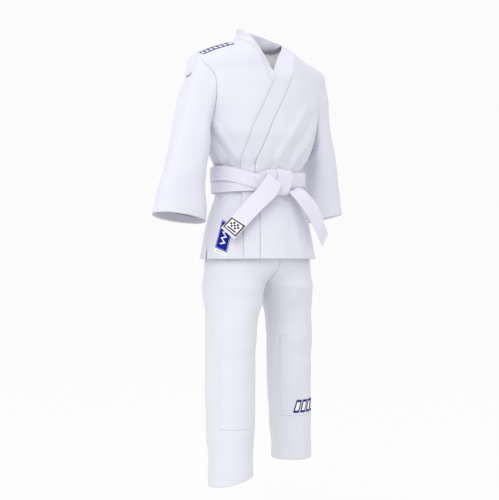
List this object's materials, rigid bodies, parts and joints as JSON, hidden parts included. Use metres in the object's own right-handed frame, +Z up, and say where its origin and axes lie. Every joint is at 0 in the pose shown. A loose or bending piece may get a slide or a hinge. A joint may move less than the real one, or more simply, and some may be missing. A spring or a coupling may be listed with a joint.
{
  "type": "martial arts uniform",
  "caption": "White wrap jacket with stitched lapel, knotted belt and straight trousers, shaped as worn in a light stance.",
  "frame": {"origin": "on the body axis at the height of the neck base", "axes": "+Z up, the wearer faces -Y, the wearer's left is +X"},
  "size_m": [0.689, 0.2632, 1.2056],
  "materials": {
    "cotton_cloth": "plain woven bleached cotton",
    "belt_webbing": "row-stitched cotton belt",
    "quilted_band": "row-stitched cotton band",
    "navy_print": "matt print",
    "blue_label": "woven label",
    "white_label": "woven label",
    "belt_label": "woven label",
    "elastic": "knitted elastic"
  },
  "bodies": {
    "jacket_belt_and_seat": {"back_panel_right": "cotton_cloth", "back_panel_left": "cotton_cloth", "right_front_panel": "cotton_cloth", "left_front_panel": "cotton_cloth", "right_collar_band": "quilted_band", "left_collar_band": "quilted_band", "yoke_lining": "cotton_cloth", "right_vent_patch": "cotton_cloth", "left_vent_patch": "cotton_cloth", "right_front_hem_facing": "cotton_cloth", "left_front_hem_facing": "cotton_cloth", "back_hem_facing": "cotton_cloth", "shoulder_mark": "navy_print", "skirt_label": "blue_label", "skirt_label_tab": "white_label", "belt_inner_wrap": "belt_webbing", "belt_outer_wrap": "belt_webbing", "knot_under_fold": "belt_webbing", "knot_front_wrap": "belt_webbing", "right_hip_panel": "cotton_cloth", "left_hip_panel": "cotton_cloth", "waistband_casing": "cotton_cloth", "waist_elastic": "elastic"},
    "right_sleeve_body": {"right_sleeve": "cotton_cloth", "right_cuff_facing": "cotton_cloth", "sleeve_mark": "navy_print"},
    "left_sleeve_body": {"left_sleeve": "cotton_cloth", "left_cuff_facing": "cotton_cloth"},
    "right_belt_end_body": {"right_belt_end": "belt_webbing", "belt_end_label": "belt_label"},
    "left_belt_end_body": {"left_belt_end": "belt_webbing"},
    "right_leg_body": {"right_leg": "cotton_cloth", "right_knee_patch": "cotton_cloth", "right_leg_hem_facing": "cotton_cloth"},
    "left_leg_body": {"left_leg": "cotton_cloth", "left_knee_patch": "cotton_cloth", "left_leg_hem_facing": "cotton_cloth", "leg_mark": "navy_print"}
  },
  "joints": [
    {"name": "right_shoulder", "type": "hinge", "parent": "jacket_belt_and_seat", "child": "right_sleeve_body", "pos_m": [-0.209, 0, -0.058], "axis": [0, 1, 0], "range_deg": [0, 60]},
    {"name": "left_shoulder", "type": "hinge", "parent": "jacket_belt_and_seat", "child": "left_sleeve_body", "pos_m": [0.209, 0, -0.058], "axis": [0, -1, 0], "range_deg": [0, 60]},
    {"name": "right_hip", "type": "hinge", "parent": "jacket_belt_and_seat", "child": "right_leg_body", "pos_m": [-0.082, 0, -0.56], "axis": [-1, 0, 0], "range_deg": [-20, 30]},
    {"name": "left_hip", "type": "hinge", "parent": "jacket_belt_and_seat", "child": "left_leg_body", "pos_m": [0.082, 0, -0.56], "axis": [-1, 0, 0], "range_deg": [-20, 30]},
    {"name": "right_belt_end_lift", "type": "hinge", "parent": "jacket_belt_and_seat", "child": "right_belt_end_body", "pos_m": [-0.047, -0.118, -0.408], "axis": [-0.5026, 0.8645, 0], "range_deg": [0, 50]},
    {"name": "left_belt_end_lift", "type": "hinge", "parent": "jacket_belt_and_seat", "child": "left_belt_end_body", "pos_m": [0.043, -0.122, -0.41], "axis": [-0.8, -0.6, 0], "range_deg": [0, 50]}
  ]
}
